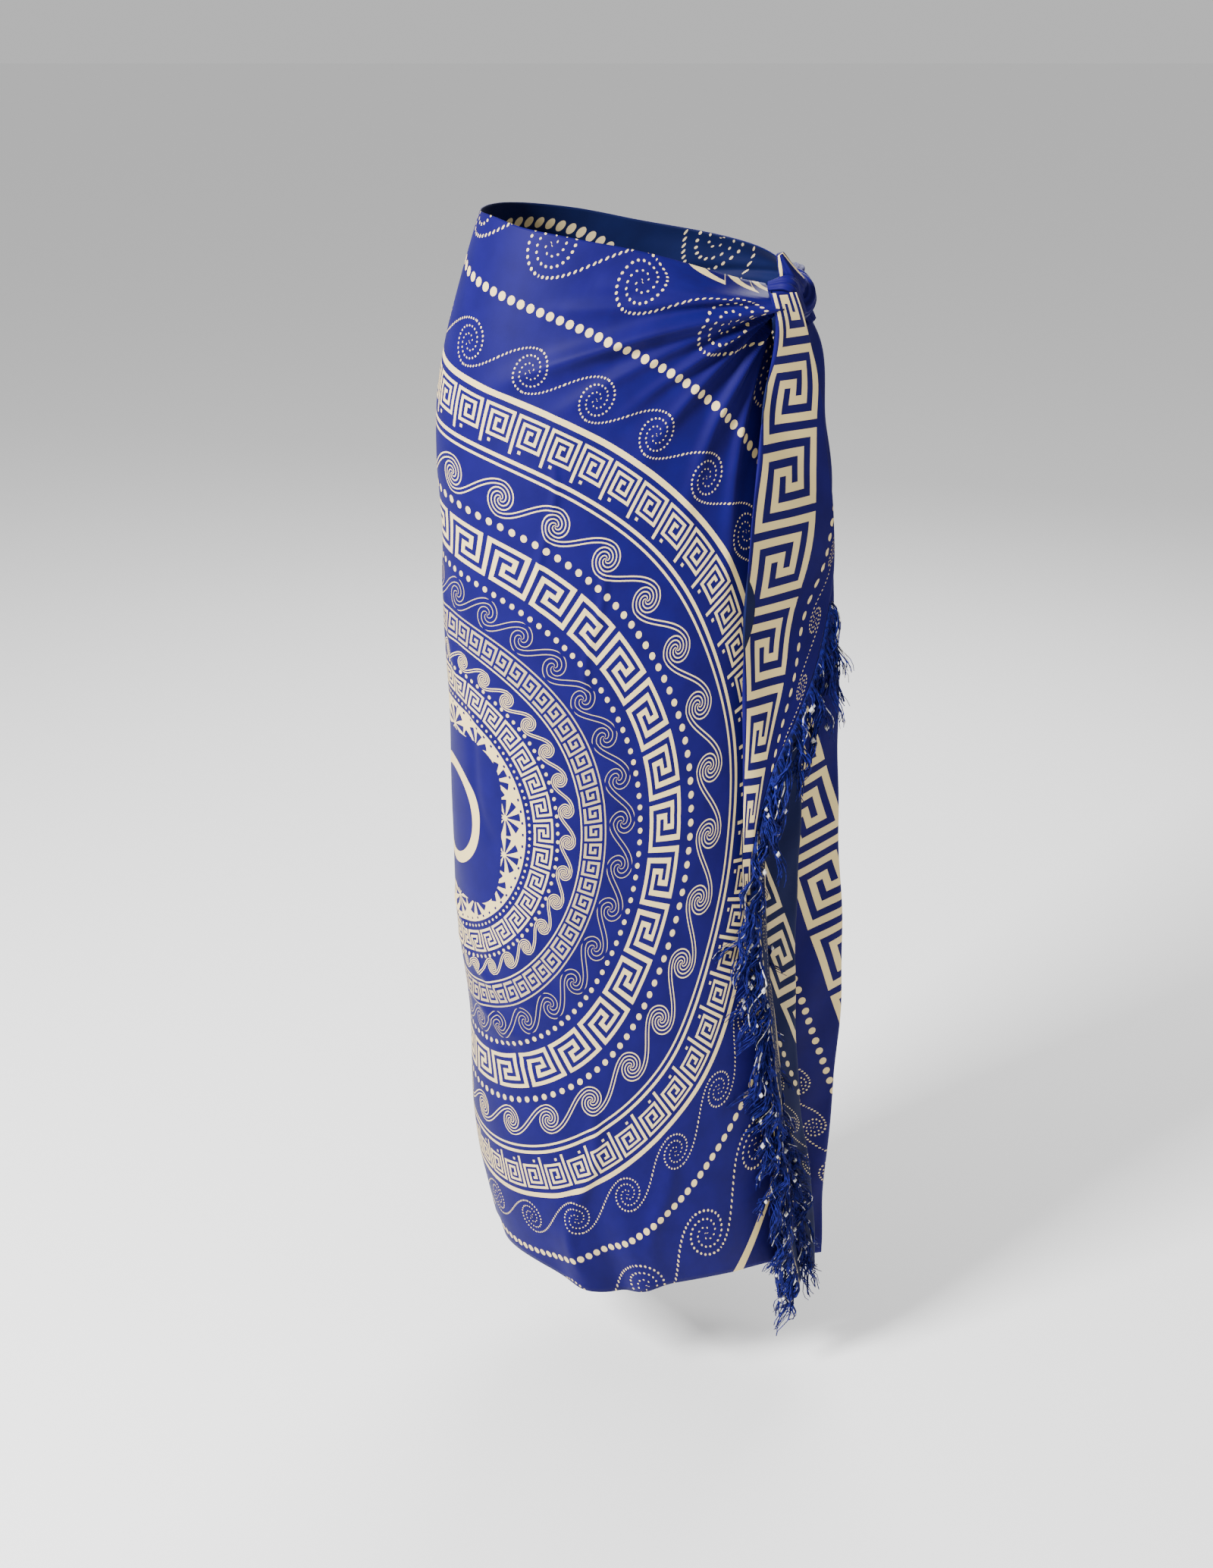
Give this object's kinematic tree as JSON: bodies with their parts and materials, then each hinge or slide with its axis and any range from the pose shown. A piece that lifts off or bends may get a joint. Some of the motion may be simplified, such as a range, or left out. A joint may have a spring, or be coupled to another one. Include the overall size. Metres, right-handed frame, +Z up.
{
  "type": "sarong",
  "caption": "Long wrap skirt of one fringed rectangle of printed cloth, worn shape, open at waist and hem, knotted at the left hip with both ends hanging in folds.",
  "frame": {"origin": "in the middle of the waist opening, at the height of the waist, where the wearer holds it up", "axes": "+Z up, -Y the garment's front, +X the wearer's left, where the knot is"},
  "size_m": [0.4044, 0.2805, 1.1493],
  "materials": {
    "printed_cloth": "smooth printed rayon with a soft sheen, royal blue with cream key, scroll and dot borders",
    "turned_cloth": "wrong side of the same printed rayon, duller and more teal",
    "fringe_yarn": "loose twisted blue yarn with small pale knots"
  },
  "bodies": {
    "root": {"front_panel": "printed_cloth", "back_panel": "printed_cloth", "front_fall": "printed_cloth", "back_fall_rear": "printed_cloth", "back_fall_front": "turned_cloth", "knot_front_corner": "printed_cloth", "knot_back_corner": "printed_cloth", "fringe_front": "fringe_yarn", "fringe_back": "fringe_yarn"}
  },
  "joints": []
}
